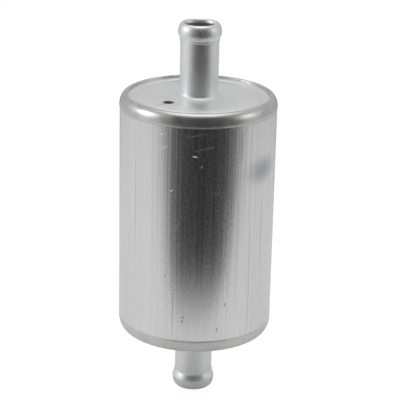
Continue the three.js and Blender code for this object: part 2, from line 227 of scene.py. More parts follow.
class Shader:
    """A small helper that adds nodes and joins them."""

    def __init__(self, name):
        self.material = bpy.data.materials.new(name)
        self.material.use_nodes = True
        self.tree = self.material.node_tree
        self.bsdf = self.tree.nodes["Principled BSDF"]
        self.place = self.node("ShaderNodeTexCoord").outputs["Object"]

    def node(self, kind, settings=None, **inputs):
        made = self.tree.nodes.new(kind)
        for key, value in (settings or {}).items():
            setattr(made, key, value)
        for key, value in inputs.items():
            self.feed(made.inputs[key.replace("_", " ")], value)
        return made

    def feed(self, socket, value):
        if isinstance(value, bpy.types.NodeSocket):
            self.tree.links.new(value, socket)
        else:
            socket.default_value = value

    def math(self, operation, a, b=0.0, c=0.0):
        made = self.node("ShaderNodeMath", {"operation": operation})
        for socket, value in zip(made.inputs, (a, b, c)):
            self.feed(socket, value)
        return made.outputs[0]

    def scaled(self, vector, scale):
        return self.node("ShaderNodeMapping", Vector=vector, Scale=scale).outputs[0]

    def split(self, vector):
        return self.node("ShaderNodeSeparateXYZ", Vector=vector).outputs

    def length(self, vector):
        return self.node("ShaderNodeVectorMath", {"operation": "LENGTH"}, Vector=vector).outputs["Value"]

    def noise(self, vector, scale, detail=2.0, roughness=0.5):
        settings = {"Vector": vector, "Scale": scale, "Detail": detail, "Roughness": roughness}
        return self.node("ShaderNodeTexNoise", **settings).outputs["Fac"]

    def streaks(self, across, per_mm, shift, detail):
        """Noise that changes only across the wall, for marks that run its whole length."""
        place = self.math("MULTIPLY_ADD", across, per_mm, shift)
        one_way = {"noise_dimensions": "1D"}
        return self.node("ShaderNodeTexNoise", one_way, W=place, Scale=1.0, Detail=detail).outputs["Fac"]

    def cells(self, vector, scale):
        """Distance from the middles of scattered cells, for pits, bubbles and spangle."""
        return self.node("ShaderNodeTexVoronoi", Vector=vector, Scale=scale).outputs["Distance"]

    def remap(self, value, low, high, to_low=0.0, to_high=1.0):
        made = self.node("ShaderNodeMapRange", {"clamp": True, "interpolation_type": "SMOOTHSTEP"})
        for socket, number in zip(made.inputs, (value, low, high, to_low, to_high)):
            self.feed(socket, number)
        return made.outputs[0]

    def mix(self, factor, a, b):
        made = self.node("ShaderNodeMix", {"data_type": "RGBA", "clamp_factor": True})
        self.feed(made.inputs["Factor"], factor)
        self.feed(made.inputs[6], a)
        self.feed(made.inputs[7], b)
        return made.outputs[2]

    def bump(self, height, distance, strength):
        made = self.node("ShaderNodeBump", Height=height, Distance=distance, Strength=strength)
        return made.outputs[0]

    def wall(self):
        """Millimetres round the wall from its front, and millimetres up."""
        across, depth, height = self.split(self.place)
        angle = self.math("ARCTAN2", across, self.math("MULTIPLY", depth, -1.0))
        round_mm = self.math("MULTIPLY", angle, WALL_R)
        up_mm = self.math("DIVIDE", height, MM)
        return self.node("ShaderNodeCombineXYZ", X=round_mm, Y=up_mm).outputs[0]

    def ellipse(self, wall, degrees, height, half_length, half_width, tilt=0.0, fade=0.6):
        """A mask over one long thin or round mark on the wall."""
        moved = self.node(
            "ShaderNodeMapping", {"vector_type": "TEXTURE"}, Vector=wall,
            Location=(WALL_R * math.radians(degrees), height, 0), Rotation=(0, 0, math.radians(tilt)),
            Scale=(half_length, half_width, 1),
        ).outputs[0]
        return self.remap(self.length(moved), fade, 1.0, 1.0, 0.0)

    def marks(self, wall, rows):
        """One mask over several marks, each (degrees, height, half length, half width, tilt)."""
        mask = 0.0
        for row in rows:
            mask = self.math("MAXIMUM", mask, self.ellipse(wall, *row))
        return mask

    def set(self, **inputs):
        for key, value in inputs.items():
            self.feed(self.bsdf.inputs[key.replace("_", " ")], value)
        return self.material


def grey(level, warmth=0.0):
    return (level * (1 + warmth), level, level * (1 - warmth), 1.0)


# Handling marks: degrees from the front, height, half length and half width in mm, tilt in degrees
NICKS = [
    (-26.5, 94.2, 0.8, 0.36, -20), (-1.7, 87.9, 0.85, 0.25, -4), (3.2, 84.7, 0.45, 0.1, 0),
    (-18.0, 76.5, 0.8, 0.2, 20), (-24.0, 71.0, 0.4, 0.2, 60), (-25.0, 89.8, 2.4, 0.14, 28),
]
SCRATCHES = [
    (-1.0, 94.6, 3.8, 0.16, 15), (5.0, 90.4, 4.4, 0.16, 12), (-13.5, 65.0, 2.2, 0.14, 70),
    (9.0, 52.0, 1.8, 0.14, 35), (14.0, 76.0, 1.6, 0.12, -10),
]
SPECKS = [
    (-8.4, 34.6, 0.55, 0.3, 35), (-8.9, 33.2, 0.35, 0.55, 10), (16.9, 30.2, 0.28, 0.8, 0),
    (22.5, 38.6, 0.24, 0.8, 0), (-22.0, 48.0, 0.2, 0.5, 10),
]
SCUFFS = [
    (49.0, 98.3, 0.5, 0.2, 20), (53.0, 99.3, 0.35, 0.25, 0), (57.0, 98.6, 0.3, 0.22, -30),
    (60.5, 99.6, 0.5, 0.25, 10), (64.0, 98.4, 0.3, 0.4, 0),
]
DIE_LINES = [
    (33.0, 90.5, 0.34, 7.0, 0), (55.0, 60.0, 0.28, 17.0, 0), (-16.0, 36.0, 0.22, 10.0, 0),
    (43.0, 45.0, 0.2, 24.0, 0), (-50.0, 70.0, 0.2, 22.0, 0),
]


def drawn_tube():
    """Extruded aluminium: lengthwise die lines, a fine grain, nicks, scratches, dust and one darker bluish
    smudge.
    """
    s = Shader("drawn_aluminium")
    wall = s.wall()
    across = s.split(wall)[0]
    fine = s.streaks(across, 2.6, 40.0, 2.0)
    first = s.streaks(across, 0.8, 0.0, 2.0)
    second = s.streaks(across, 0.7, 90.0, 2.0)
    change = s.remap(s.noise(s.scaled(s.place, (90, 90, 22)), 1.0, 1.0), 0.4, 0.6)
    broad = s.math("ADD", s.math("MULTIPLY", first, change),
                   s.math("MULTIPLY", second, s.math("SUBTRACT", 1.0, change)))
    lines = s.math("ADD", s.math("MULTIPLY", fine, 0.35), s.math("MULTIPLY", broad, 0.65))
    patches = s.noise(s.place, 70.0, 3.0)
    grain = s.noise(s.scaled(s.place, (3000, 3000, 1700)), 1.0, 3.0, 0.6)
    colour = s.mix(s.remap(lines, 0.38, 0.62), grey(0.83), grey(0.85))
    colour = s.mix(s.remap(patches, 0.42, 0.62, 0.0, 0.3), colour, grey(0.83, 0.008))
    speckled = s.mix(s.remap(grain, 0.3, 0.7), grey(0.94), grey(1.06))
    colour = s.mix(1.0, colour, speckled)
    colour.node.blend_type = "MULTIPLY"
    roughness = s.math("ADD", s.remap(lines, 0.38, 0.62, 0.285, 0.23),
                       s.remap(grain, 0.3, 0.7, -0.015, 0.015))

    # One soft, darker bluish smudge on the wall.
    blue_smudge = s.ellipse(wall, 54.5, 80.9, 10.5, 6.2, 0, 0.0)
    colour = s.mix(s.math("MULTIPLY", blue_smudge, 0.78), colour, (0.36, 0.385, 0.46, 1))
    gouges = s.math("MAXIMUM", s.marks(wall, SPECKS), s.math("MULTIPLY", s.marks(wall, DIE_LINES), 0.5))
    colour = s.mix(s.math("MULTIPLY", gouges, 0.7), colour, grey(0.22, 0.03))
    dusty = s.remap(s.noise(s.place, 45.0, 2.0), 0.5, 0.66)
    dust = s.math("MULTIPLY", s.remap(s.cells(s.place, 240.0), 0.03, 0.06, 1.0, 0.0), dusty)
    cuts = s.math("MAXIMUM", s.marks(wall, NICKS), s.math("MULTIPLY", s.marks(wall, SCRATCHES), 0.15))
    cuts = s.math("MAXIMUM", cuts, s.math("MULTIPLY", dust, 0.35))
    colour = s.mix(cuts, colour, grey(0.97))
    roughness = s.math("ADD", roughness, s.math("MULTIPLY", cuts, 0.5))
    metallic = s.math("SUBTRACT", 1.0, s.math("MULTIPLY", cuts, 0.85))
    height = s.math("ADD", lines, s.math("MULTIPLY", grain, 0.03))
    height = s.math("SUBTRACT", height, s.math("MULTIPLY", gouges, 0.3))
    tangent = s.node("ShaderNodeTangent", {"direction_type": "RADIAL", "axis": "Z"}).outputs[0]
    s.bsdf.inputs["Anisotropic"].default_value = 0.8
    return s.set(
        Base_Color=colour, Metallic=metallic, Roughness=roughness, Tangent=tangent,
        Normal=s.bump(height, 0.00005, 1.0),
    )


def rolled_rim():
    """The same aluminium where the roller has burnished it, with fine lines round the rim."""
    s = Shader("rolled_aluminium")
    x, y, z = s.split(s.place)
    squares = [s.math("POWER", side, 2.0) for side in (x, y)]
    radius = s.math("SQRT", s.math("ADD", *squares))
    across = s.node("ShaderNodeCombineXYZ", X=radius, Y=z, Z=0.0).outputs[0]
    lines = s.noise(across, 5200.0, 2.0)
    patches = s.noise(s.place, 260.0, 3.0)
    grain = s.noise(s.place, 3000.0, 3.0)
    colour = s.mix(s.remap(patches, 0.35, 0.65), grey(0.62, 0.015), grey(0.71, 0.01))
    colour = s.mix(s.remap(grain, 0.4, 0.75), colour, grey(0.76, 0.01))
    colour = s.mix(s.math("MULTIPLY", s.marks(s.wall(), SCUFFS), 0.7), colour, grey(0.25, 0.02))
    roughness = s.math("ADD", s.remap(patches, 0.3, 0.7, 0.31, 0.38),
                       s.remap(grain, 0.3, 0.7, -0.03, 0.03))
    height = s.math("ADD", s.math("MULTIPLY", lines, 0.5), s.math("MULTIPLY", patches, 0.6))
    return s.set(
        Base_Color=colour, Metallic=0.94, Roughness=roughness, Normal=s.bump(height, 0.00004, 0.25),
    )


def satin_cap():
    """Tumbled aluminium: an even satin with a sandy speckle."""
    s = Shader("satin_aluminium")
    speckle = s.noise(s.place, 2800.0, 3.0, 0.65)
    coarse = s.noise(s.place, 1100.0, 2.0, 0.6)
    patches = s.noise(s.place, 190.0, 3.0)
    grain = s.math("ADD", s.math("MULTIPLY", speckle, 0.75), s.math("MULTIPLY", coarse, 0.25))
    colour = s.mix(s.remap(grain, 0.36, 0.64), grey(0.86, -0.006), grey(1.0, -0.006))
    colour = s.mix(s.remap(patches, 0.4, 0.65, 0.0, 0.25), colour, grey(0.93, -0.006))
    roughness = s.math("ADD", s.remap(patches, 0.3, 0.7, 0.46, 0.50),
                       s.remap(grain, 0.36, 0.64, -0.05, 0.05))
    return s.set(
        Base_Color=colour, Metallic=1.0, Roughness=roughness, Normal=s.bump(grain, 0.00004, 0.35),
    )


def bore_marks_and_shade_metal():
    """Drilled and punched surfaces: dull, with tool marks going round, and dark greys that paint the shade
    inside the nozzles' bores.
    """
    s = Shader("bored_aluminium_and_painted_shade")
    rings = s.noise(s.scaled(s.place, (300, 300, 5200)), 1.0, 3.0, 0.6)
    grain = s.noise(s.place, 2600.0, 3.0)
    # These dark greys are painted shade inside the bore, laid over the dull drilled finish.
    colour = s.mix(s.remap(rings, 0.35, 0.65), grey(0.34), grey(0.46))
    colour = s.mix(s.remap(grain, 0.4, 0.7, 0.0, 0.5), colour, grey(0.3, 0.01))
    return s.set(
        Base_Color=colour, Metallic=1.0, Roughness=s.remap(grain, 0.3, 0.7, 0.42, 0.58),
        Normal=s.bump(rings, 0.00004, 0.4),
    )


def dark_hollow_fill():
    """A near-black, rough fill on the faces of the punched hollow."""
    s = Shader("dark_hollow_fill")
    clumps = s.noise(s.place, 1500.0, 3.0)
    # Near-black colour in the punched hollow, much darker than the cap round it.
    colour = s.mix(s.remap(clumps, 0.35, 0.65), grey(0.035, 0.03), grey(0.09, 0.05))
    return s.set(
        Base_Color=colour, Roughness=s.remap(clumps, 0.3, 0.7, 0.55, 0.8),
        Normal=s.bump(clumps, 0.00004, 0.5),
    )


def rubber():
    """Black nitrile with a slight bloom and moulding grain."""
    s = Shader("nitrile_rubber")
    bloom = s.noise(s.place, 320.0, 4.0)
    grain = s.noise(s.place, 4500.0, 2.0)
    colour = s.mix(s.remap(bloom, 0.42, 0.68), grey(0.014), grey(0.04, -0.03))
    roughness = s.math("ADD", s.remap(bloom, 0.3, 0.7, 0.42, 0.62),
                       s.remap(grain, 0.3, 0.7, -0.04, 0.04))
    return s.set(Base_Color=colour, Roughness=roughness, Normal=s.bump(grain, 0.00003, 0.35))


def sheet_metal(name, dark, light, rough, spangle):
    """Pressed sheet: plating spangle, rolling lines along X, and fine scratches."""
    s = Shader(name)
    crystals = s.cells(s.place, spangle)
    rolling = s.noise(s.scaled(s.place, (60, 4200, 4200)), 1.0, 3.0, 0.6)
    grain = s.noise(s.place, 3600.0, 2.0)
    colour = s.mix(s.remap(crystals, 0.1, 0.7), dark, light)
    colour = s.mix(s.remap(rolling, 0.5, 0.75, 0.0, 0.3), colour, dark)
    roughness = s.math("ADD", s.remap(crystals, 0.1, 0.8, rough - 0.06, rough + 0.06),
                       s.remap(grain, 0.3, 0.7, -0.03, 0.03))
    height = s.math("ADD", s.math("MULTIPLY", rolling, 0.6), s.math("MULTIPLY", grain, 0.4))
    return s.set(
        Base_Color=colour, Metallic=1.0, Roughness=roughness, Normal=s.bump(height, 0.00003, 0.3),
    )


def wire_metal(name, dark, light, rough):
    """Drawn wire: fine die marks and patches of oil tint."""
    s = Shader(name)
    tint = s.noise(s.place, 420.0, 3.0)
    marks = s.noise(s.place, 5200.0, 3.0, 0.65)
    colour = s.mix(s.remap(tint, 0.35, 0.65), dark, light)
    roughness = s.math("ADD", s.remap(tint, 0.3, 0.7, rough - 0.05, rough + 0.05),
                       s.remap(marks, 0.3, 0.7, -0.05, 0.05))
    return s.set(
        Base_Color=colour, Metallic=1.0, Roughness=roughness, Normal=s.bump(marks, 0.00002, 0.35),
    )


def filter_paper():
    """Resin-cured filter paper: felted fibres, an embossed dimple and resin-rich flecks."""
    s = Shader("filter_paper")
    fibres = s.noise(s.scaled(s.place, (2600, 2600, 700)), 1.0, 5.0, 0.7)
    cloud = s.noise(s.place, 160.0, 4.0)
    dimples = s.cells(s.place, 520.0)
    colour = s.mix(s.remap(fibres, 0.32, 0.68), (0.58, 0.43, 0.20, 1), (0.82, 0.70, 0.43, 1))
    colour = s.mix(s.remap(cloud, 0.45, 0.7, 0.0, 0.35), colour, (0.55, 0.38, 0.15, 1))
    height = s.math("ADD", s.math("MULTIPLY", fibres, 0.7), s.remap(dimples, 0.05, 0.35, 0.0, 0.5))
    return s.set(
        Base_Color=colour, Roughness=s.remap(fibres, 0.3, 0.7, 0.82, 0.96), Sheen_Weight=0.15,
        Normal=s.bump(height, 0.00008, 0.6),
    )


def woven_tape():
    """Glass-cloth tape: a plain weave soaked in amber glue."""
    s = Shader("woven_tape")
    x, y, z = s.split(s.place)
    warp = s.math("SINE", s.math("MULTIPLY", s.math("ARCTAN2", y, x), 300.0))
    weft = s.math("SINE", s.math("MULTIPLY", z, 15000.0))
    weave = s.math("MULTIPLY", warp, weft)
    glue = s.noise(s.place, 300.0, 3.0)
    colour = s.mix(s.remap(weave, -1.0, 1.0), (0.60, 0.56, 0.46, 1), (0.84, 0.81, 0.72, 1))
    colour = s.mix(s.remap(glue, 0.5, 0.72, 0.0, 0.6), colour, (0.52, 0.38, 0.18, 1))
    return s.set(
        Base_Color=colour, Roughness=s.remap(glue, 0.45, 0.7, 0.75, 0.4),
        Normal=s.bump(weave, 0.00006, 0.5),
    )


def potting_resin():
    """Brick-red epoxy with small burst bubbles and a wet look in patches."""
    s = Shader("potting_resin")
    bubbles = s.cells(s.place, 700.0)
    swirl = s.noise(s.place, 230.0, 4.0, 0.6)
    colour = s.mix(s.remap(swirl, 0.35, 0.65), (0.42, 0.14, 0.04, 1), (0.62, 0.25, 0.08, 1))
    colour = s.mix(s.remap(bubbles, 0.06, 0.14, 0.5, 0.0), colour, (0.24, 0.07, 0.02, 1))
    height = s.math("ADD", s.remap(bubbles, 0.04, 0.16), s.math("MULTIPLY", swirl, 0.6))
    return s.set(
        Base_Color=colour, Roughness=s.remap(swirl, 0.3, 0.7, 0.22, 0.45),
        Normal=s.bump(height, 0.0001, 0.4),
    )


drawn = drawn_tube()
burnished = rolled_rim()
satin = satin_cap()
bore_marks_and_shade = bore_marks_and_shade_metal()
dark_hollow = dark_hollow_fill()
nitrile = rubber()
zinc = sheet_metal("zinc_plated_steel", grey(0.46, -0.01), grey(0.62, -0.015), 0.34, 260.0)
tin = sheet_metal("tinplate_sheet", grey(0.58, 0.012), grey(0.72, 0.02), 0.24, 420.0)
spring_wire = wire_metal("spring_wire", (0.20, 0.19, 0.19, 1), (0.40, 0.38, 0.36, 1), 0.3)
screen_wire = wire_metal("stainless_wire", grey(0.42, 0.01), grey(0.60, 0.01), 0.28)
paper = filter_paper()
tape = woven_tape()
resin = potting_resin()


# ---- housing ----

RIM_HEIGHT = 4.4  # from the crest back to the crease on the wall
RIM_EDGE_R = 22.56
LIP_TOP, LIP_UNDER = -0.2, -0.8  # of the rolled lip's inner edge


def rim_outline(shoulder, crease, bulge):
    """One rolled rim, from the wall round to the cap's shoulder, measured from the crest."""
    roll_low = -RIM_HEIGHT + 0.55
    outer_r = WALL_R + bulge
    ring_r = RIM_EDGE_R + 0.65
    roll = arc((ring_r, roll_low), (outer_r - ring_r, -roll_low - 0.10), 0, 90, 20)
    inside = arc((RIM_EDGE_R, roll_low), (SEAT_R - RIM_EDGE_R, LIP_UNDER - roll_low), 90, 0, 8)
    return (
        [(WALL_R, -RIM_HEIGHT - 0.35), (WALL_R, -RIM_HEIGHT), (WALL_R - crease, -RIM_HEIGHT + 0.1)]
        + [(WALL_R - 0.8 * crease, -RIM_HEIGHT + 0.17), (WALL_R + 0.5 * bulge, -RIM_HEIGHT + 0.27)]
        + roll
        + [(RIM_EDGE_R + 0.35, -0.03), (RIM_EDGE_R + 0.15, -0.05), (RIM_EDGE_R + 0.04, -0.1)]
        + [(RIM_EDGE_R, LIP_TOP), (RIM_EDGE_R, LIP_UNDER)]
        + inside[1:]
        + [(SEAT_R, shoulder), (BORE_R, shoulder)]
    )


def body_tube():
    cap_end = CAP_EDGE_DEPTH + 0.1
    upper = rim_outline(INLET_FACE - cap_end - TUBE_HIGH, crease=0.10, bulge=0.14)
    lower = rim_outline(TUBE_LOW - OUTLET_FACE - cap_end, crease=0.015, bulge=0.02)
    profile = [(r, TUBE_HIGH + z) for r, z in upper] + [(r, TUBE_LOW - z) for r, z in lower[::-1]]

    def crimped(angle, r, z):
        """The lip's edge is drawn into slight folds as it is rolled in."""
        fold_depth, fold_reach, lip_depth = 0.05, 1.2, 0.6
        from_edge = max(0.0, 1 - abs(r - RIM_EDGE_R) / fold_reach)
        outside = min(z - TUBE_LOW, TUBE_HIGH - z) < lip_depth
        fold = fold_depth * from_edge if outside else 0.0
        wave = math.sin(23 * angle) * math.sin(7 * angle + 1.0) + 0.5 * math.sin(41 * angle + 2.0)
        return r + fold * wave, z

    def part_of(_, z):
        return 1 if min(z - TUBE_LOW, TUBE_HIGH - z) < RIM_HEIGHT + 0.1 else 0

    piece = finish_mesh("tube_shell", turned(profile, shape=crimped, slot_of=part_of), [drawn, burnished])
    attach(piece, "housing")
    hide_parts("body_tube")


MOUTH_DEPTH = 1.2  # of the rounded lip inside each nozzle's end
NOZZLE_BORE_R = 4.82
NOZZLE_R = 6.12
BEAD_R = 6.9
FLOW_MARK_PLACE = (12.9, 223.6)  # radius, and degrees from +X


def cap_outline(inner_boss):
    """A cap with its nozzle. Heights are measured from the outer face, positive outwards."""
    length = INLET_END - INLET_FACE
    bead_height, bead_centre_r, below_bead = 3.15, 5.45, 2.3
    bead_z = length - bead_height
    step_z = bead_z - below_bead
    cap_r, recess_r, recess_depth = SEAT_R - 0.1, 19.6, 3.0
    seal_low, seal_high, seal_depth = -4.6, -2.5, 1.35
    edge_r, edge_height, chamfer = 22.2, 2.3, 0.15
    groove_r, groove_depth = 20.1, 0.18
    fillet_r, fillet_height = 2.2, 1.3
    bead = arc((bead_centre_r, bead_z), (BEAD_R - bead_centre_r, bead_height), 0, 84, 16)
    ridge = [
        (NOZZLE_R, step_z - 0.6),
        (NOZZLE_R, step_z - 0.26),
        (NOZZLE_R + 0.23, step_z - 0.1),
        (NOZZLE_R + 0.25, step_z - 0.04),
        (NOZZLE_R + 0.01, step_z + 0.2),
    ]
    tail = [
        (NOZZLE_R, step_z + 0.3),
        (NOZZLE_R + 0.14, step_z + 0.5),
        (NOZZLE_R + 0.28, step_z + 0.8),
        (NOZZLE_R + 0.56, step_z + 1.5),
        (BEAD_R - 0.03, bead_z - 0.35),
    ]
    root = arc((NOZZLE_R + fillet_r, fillet_height), (fillet_r, fillet_height), 270, 180, 12)
    return (
        [(NOZZLE_BORE_R + 0.24, length - 0.34), (NOZZLE_BORE_R + 0.08, length - 0.7)]
        + [(NOZZLE_BORE_R, length - MOUTH_DEPTH), (NOZZLE_BORE_R, inner_boss[0][1])]
        + inner_boss
        + [(inner_boss[-1][0], -recess_depth), (recess_r, -recess_depth), (recess_r, -CAP_EDGE_DEPTH)]
        + [(cap_r - chamfer, -CAP_EDGE_DEPTH), (cap_r, -CAP_EDGE_DEPTH + chamfer), (cap_r, seal_low)]
        + [(cap_r - seal_depth, seal_low), (cap_r - seal_depth, seal_high), (cap_r, seal_high)]
        + arc((edge_r, -edge_height), (cap_r - edge_r, edge_height), 0, 90, 8)
        + [(groove_r + 0.4, 0.0), (groove_r + 0.2, -0.08), (groove_r, -groove_depth)]
        + [(groove_r - 0.2, -0.08), (groove_r - 0.4, 0.0), (14.0, 0.0), (9.5, 0.0)]
        + root
        + ridge
        + tail
        + bead
        + [(NOZZLE_BORE_R + 0.62, length)]
    )


def cap(name, node, boss, face, outward):
    """A turned cap. Boss holds the (radius, depth) corners inside, and outward is 1 or -1."""
    outline = [(r, face + outward * z) for r, z in cap_outline(boss)]

    # Faces of the bore below the mouth get the drilled finish with its painted shade.
    def part_of(r, z):
        below_mouth = abs(z - face) < INLET_END - INLET_FACE - MOUTH_DEPTH
        return 1 if r < NOZZLE_BORE_R + 0.01 and below_mouth else 0

    piece = finish_mesh(name, turned(outline, slot_of=part_of), [satin, bore_marks_and_shade])
    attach(piece, "housing")
    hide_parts(node)
    return piece


def cut(piece, cutter):
    """Takes the cutter's shape out of a piece, whose new faces keep the cutter's material."""
    modifier = piece.modifiers.new("cut", "BOOLEAN")
    modifier.operation = "DIFFERENCE"
    modifier.solver = "EXACT"
    modifier.material_mode = "TRANSFER"
    modifier.object = cutter
    with bpy.context.temp_override(object=piece, active_object=piece):
        bpy.ops.object.modifier_apply(modifier="cut")
    bpy.data.objects.remove(cutter, do_unlink=True)
    bm = bmesh.new()
    bm.from_mesh(piece.data)
    bmesh.ops.dissolve_degenerate(bm, dist=1e-6, edges=bm.edges)
    bm.to_mesh(piece.data)
    bm.free()
    piece.data.set_sharp_from_angle(angle=SHARP)


def flow_mark(piece):
    """A round punched hollow that tells the inlet end."""
    hollow = [(0, -0.8), (1.1, -0.8), (1.35, -0.62), (1.55, -0.1), (1.72, 0.01), (1.72, 0.5), (0, 0.5)]
    cutter = finish_mesh("flow_mark_cutter", turned(hollow, 40), [dark_hollow])
    radius, place = FLOW_MARK_PLACE[0], math.radians(FLOW_MARK_PLACE[1])
    cutter.location = Vector((radius * math.cos(place), radius * math.sin(place), INLET_FACE)) * MM
    cut(piece, cutter)


body_tube()
inlet = cap("inlet_cap_shell", "inlet_cap", [(7.2, -4.8)], INLET_FACE, 1)
flow_mark(inlet)
cap("outlet_cap_shell", "outlet_cap", [(7.3, -3.0), (7.3, -6.0), (10.2, -6.0)], OUTLET_FACE, -1)


# ---- inside the housing ----


def settle(piece, body, node):
    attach(piece, body)
    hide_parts(node)
    return piece


def levels_of(node):
    """The node's lowest and highest Z, in millimetres."""
    return [corner.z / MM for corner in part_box(node)]


def o_ring(name, node):
    """A squeezed ring: flattened where it bears on the groove and the tube, with a mould line."""
    low, high = levels_of(node)
    outer_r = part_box(node)[1].x / MM
    half_width, half_height, flash = 0.625, (high - low) / 2 - 0.04, 0.04
    section = []
    for i in range(40):
        a = 2 * math.pi * i / 40
        across = math.copysign(abs(math.cos(a)) ** 0.8, math.cos(a)) * half_width
        up = math.copysign(abs(math.sin(a)) ** 0.9, math.sin(a)) * half_height
        if i in (10, 30):
            up += math.copysign(flash, up)
        section.append((outer_r - half_width + across, (low + high) / 2 + up))
    settle(finish_mesh(name, turned(section), [nitrile]), "housing", node)


def spring_washer():
    low, high = levels_of("spring_washer")
    outer_r, inner_r = 11.4, 7.5
    corners = [(inner_r, low, 0.12), (outer_r, low, 0.2), (outer_r, high, 0.06), (inner_r, high, 0.2)]
    washer = finish_mesh("pressed_washer", turned(rounded(corners), SMALL_SEGMENTS), [zinc])
    settle(washer, "housing", "spring_washer")


def element_spring():
    """A compression spring with one closed turn at each end."""
    low, high = levels_of("element_spring")
    wire_r, mean_r, closed_turns, closed_pitch, active_turns = 0.5, 9.4, 1.0, 1.06, 2.75
    rise = high - low - 2 * wire_r
    active_pitch = (rise - 2 * closed_turns * closed_pitch) / active_turns
    turns = 2 * closed_turns + active_turns
    steps = 240
    points = []
    for i in range(steps + 1):
        turn = turns * i / steps
        closed = min(turn, closed_turns) + max(turn - closed_turns - active_turns, 0.0)
        active = min(max(turn - closed_turns, 0.0), active_turns)
        z = low + wire_r + closed * closed_pitch + active * active_pitch
        a = 2 * math.pi * turn
        points.append(Vector((mean_r * math.cos(a), mean_r * math.sin(a), z)))
    bm = swept(points, round_section(wire_r, 18), lambda point: Vector((point.x, point.y, 0)))
    piece = finish_mesh("coiled_spring", bm, [spring_wire], math.radians(60))
    settle(piece, "housing", "element_spring")
    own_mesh(piece)


def join_into(piece, other):
    """Fuses another closed piece into this one."""
    modifier = piece.modifiers.new("join", "BOOLEAN")
    modifier.operation = "UNION"
    modifier.solver = "EXACT"
    modifier.object = other
    with bpy.context.temp_override(object=piece, active_object=piece):
        bpy.ops.object.modifier_apply(modifier="join")
    bpy.data.objects.remove(other, do_unlink=True)
    piece.data.set_sharp_from_angle(angle=SHARP)


def guide_star():
    """A stamped spider: a flat hub and four arms whose ends bend down along the tube."""
    low, high = levels_of("guide_star")
    thickness, hub_r, bore_r, reach, width, bend_r = 0.8, 12.0, 8.1, 22.4, 6.0, 1.3
    middle = high - thickness / 2
    floor = high - thickness
    hub = rounded([(bore_r, floor, 0.1), (hub_r, floor, 0.2), (hub_r, high, 0.08), (bore_r, high, 0.2)])
    star = finish_mesh("stamped_star", turned(hub, SMALL_SEGMENTS), [zinc])
    tab_r = reach - thickness / 2
    for arm in range(4):
        a = math.radians(45 + 90 * arm)
        side = Vector((-math.sin(a), math.cos(a), 0))
        line = [(hub_r - 1.5, middle), (hub_r + 3, middle)]
        line += arc((tab_r - bend_r, middle - bend_r), (bend_r, bend_r), 90, 0, 8)
        line += [(tab_r, (middle - bend_r + low) / 2), (tab_r, low)]
        points = [Vector((r * math.cos(a), r * math.sin(a), z)) for r, z in line]
        blade = swept(points, box_section(width, thickness, 0.16), lambda _, side=side: side)
        join_into(star, finish_mesh("star_arm", blade, [zinc]))
    settle(star, "filter_element", "guide_star")


SKIRT_R = 20.6  # of both pressed end discs
SHEET = 0.6  # their thickness


def end_disc(name, node, corners):
    piece = finish_mesh(name, turned(rounded(corners, 5)), [tin])
    settle(piece, "filter_element", node)


def closed_end_disc():
    skirt_end, crown = levels_of("closed_end_disc")
    crown_r, crown_height = 7.2, 1.8
    face = crown - crown_height
    end_disc("pressed_closed_disc", "closed_end_disc", [
        (0, crown, 0), (crown_r, crown, 0.6), (crown_r + SHEET, face, 0.5), (SKIRT_R, face, 0.9),
        (SKIRT_R, skirt_end, 0.2), (SKIRT_R - SHEET, skirt_end, 0.2), (SKIRT_R - SHEET, face - SHEET, 0.35),
        (crown_r, face - SHEET, 0.8), (crown_r - SHEET, crown - SHEET, 0.3), (0, crown - SHEET, 0),
    ])


def open_end_disc():
    collar_end, skirt_end = levels_of("open_end_disc")
    collar_r, skirt_height = 7.0, 4.6
    face = skirt_end - skirt_height
    end_disc("pressed_open_disc", "open_end_disc", [
        (collar_r - SHEET, face + SHEET, 0.9), (SKIRT_R - SHEET, face + SHEET, 0.35),
        (SKIRT_R - SHEET, skirt_end, 0.2), (SKIRT_R, skirt_end, 0.2), (SKIRT_R, face, 0.9),
        (collar_r, face, 0.35), (collar_r, collar_end, 0.2), (collar_r - SHEET, collar_end, 0.2),
    ])


def potting(name, node, free_side):
    """Cast resin, whose free side sinks a little between the walls that it clings to."""
    low, high = levels_of(node)
    inner_r, outer_r, sink_depth, ripple_depth, ripple_margin = 9.45, 19.9, 0.32, 0.06, 0.3
    free = high if free_side > 0 else low
    cast = low if free_side > 0 else high
    meniscus = []
    for i in range(25):
        t = i / 24
        sink = sink_depth * (1 - (2 * t - 1) ** 6)
        meniscus.append((inner_r + (outer_r - inner_r) * t, free - free_side * sink))
    profile = [(inner_r, cast)] + meniscus + [(outer_r, cast)]

    def settled(angle, r, z):
        inside = inner_r + ripple_margin < r < outer_r - ripple_margin
        depth = ripple_depth if inside and abs(z - cast) > 0.1 else 0.0
        ripple = math.sin(5 * angle + 0.7 * r) * math.sin(3 * angle - 0.4 * r + 1.2)
        return r, z - free_side * depth * (1 + ripple)

    piece = finish_mesh(name, turned(profile, 128, settled), [resin])
    settle(piece, "filter_element", node)


